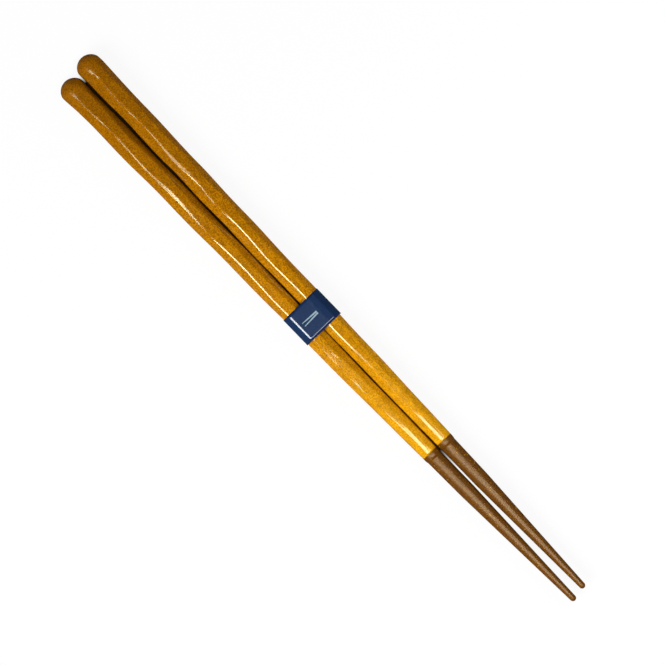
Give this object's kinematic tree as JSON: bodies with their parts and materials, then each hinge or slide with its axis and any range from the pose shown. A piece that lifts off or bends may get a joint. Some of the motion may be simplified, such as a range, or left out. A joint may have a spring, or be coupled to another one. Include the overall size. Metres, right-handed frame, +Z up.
{
  "type": "chopsticks",
  "caption": "Tapered hand-carved chopsticks with lacquered faceted handles and bare round tips, held side by side by a wrapped paper band.",
  "frame": {"origin": "centre of the pair's box, on the table under it", "axes": "+X along the sticks from the thick ends to the tips, +Y across the pair, +Z up from the table"},
  "size_m": [0.2314, 0.0174, 0.0087],
  "materials": {
    "lacquered_bamboo": "gloss",
    "navy_paper": "satin"
  },
  "bodies": {
    "root": {"chopstick_left": "lacquered_bamboo", "chopstick_right": "lacquered_bamboo", "paper_band": "navy_paper"}
  },
  "joints": []
}
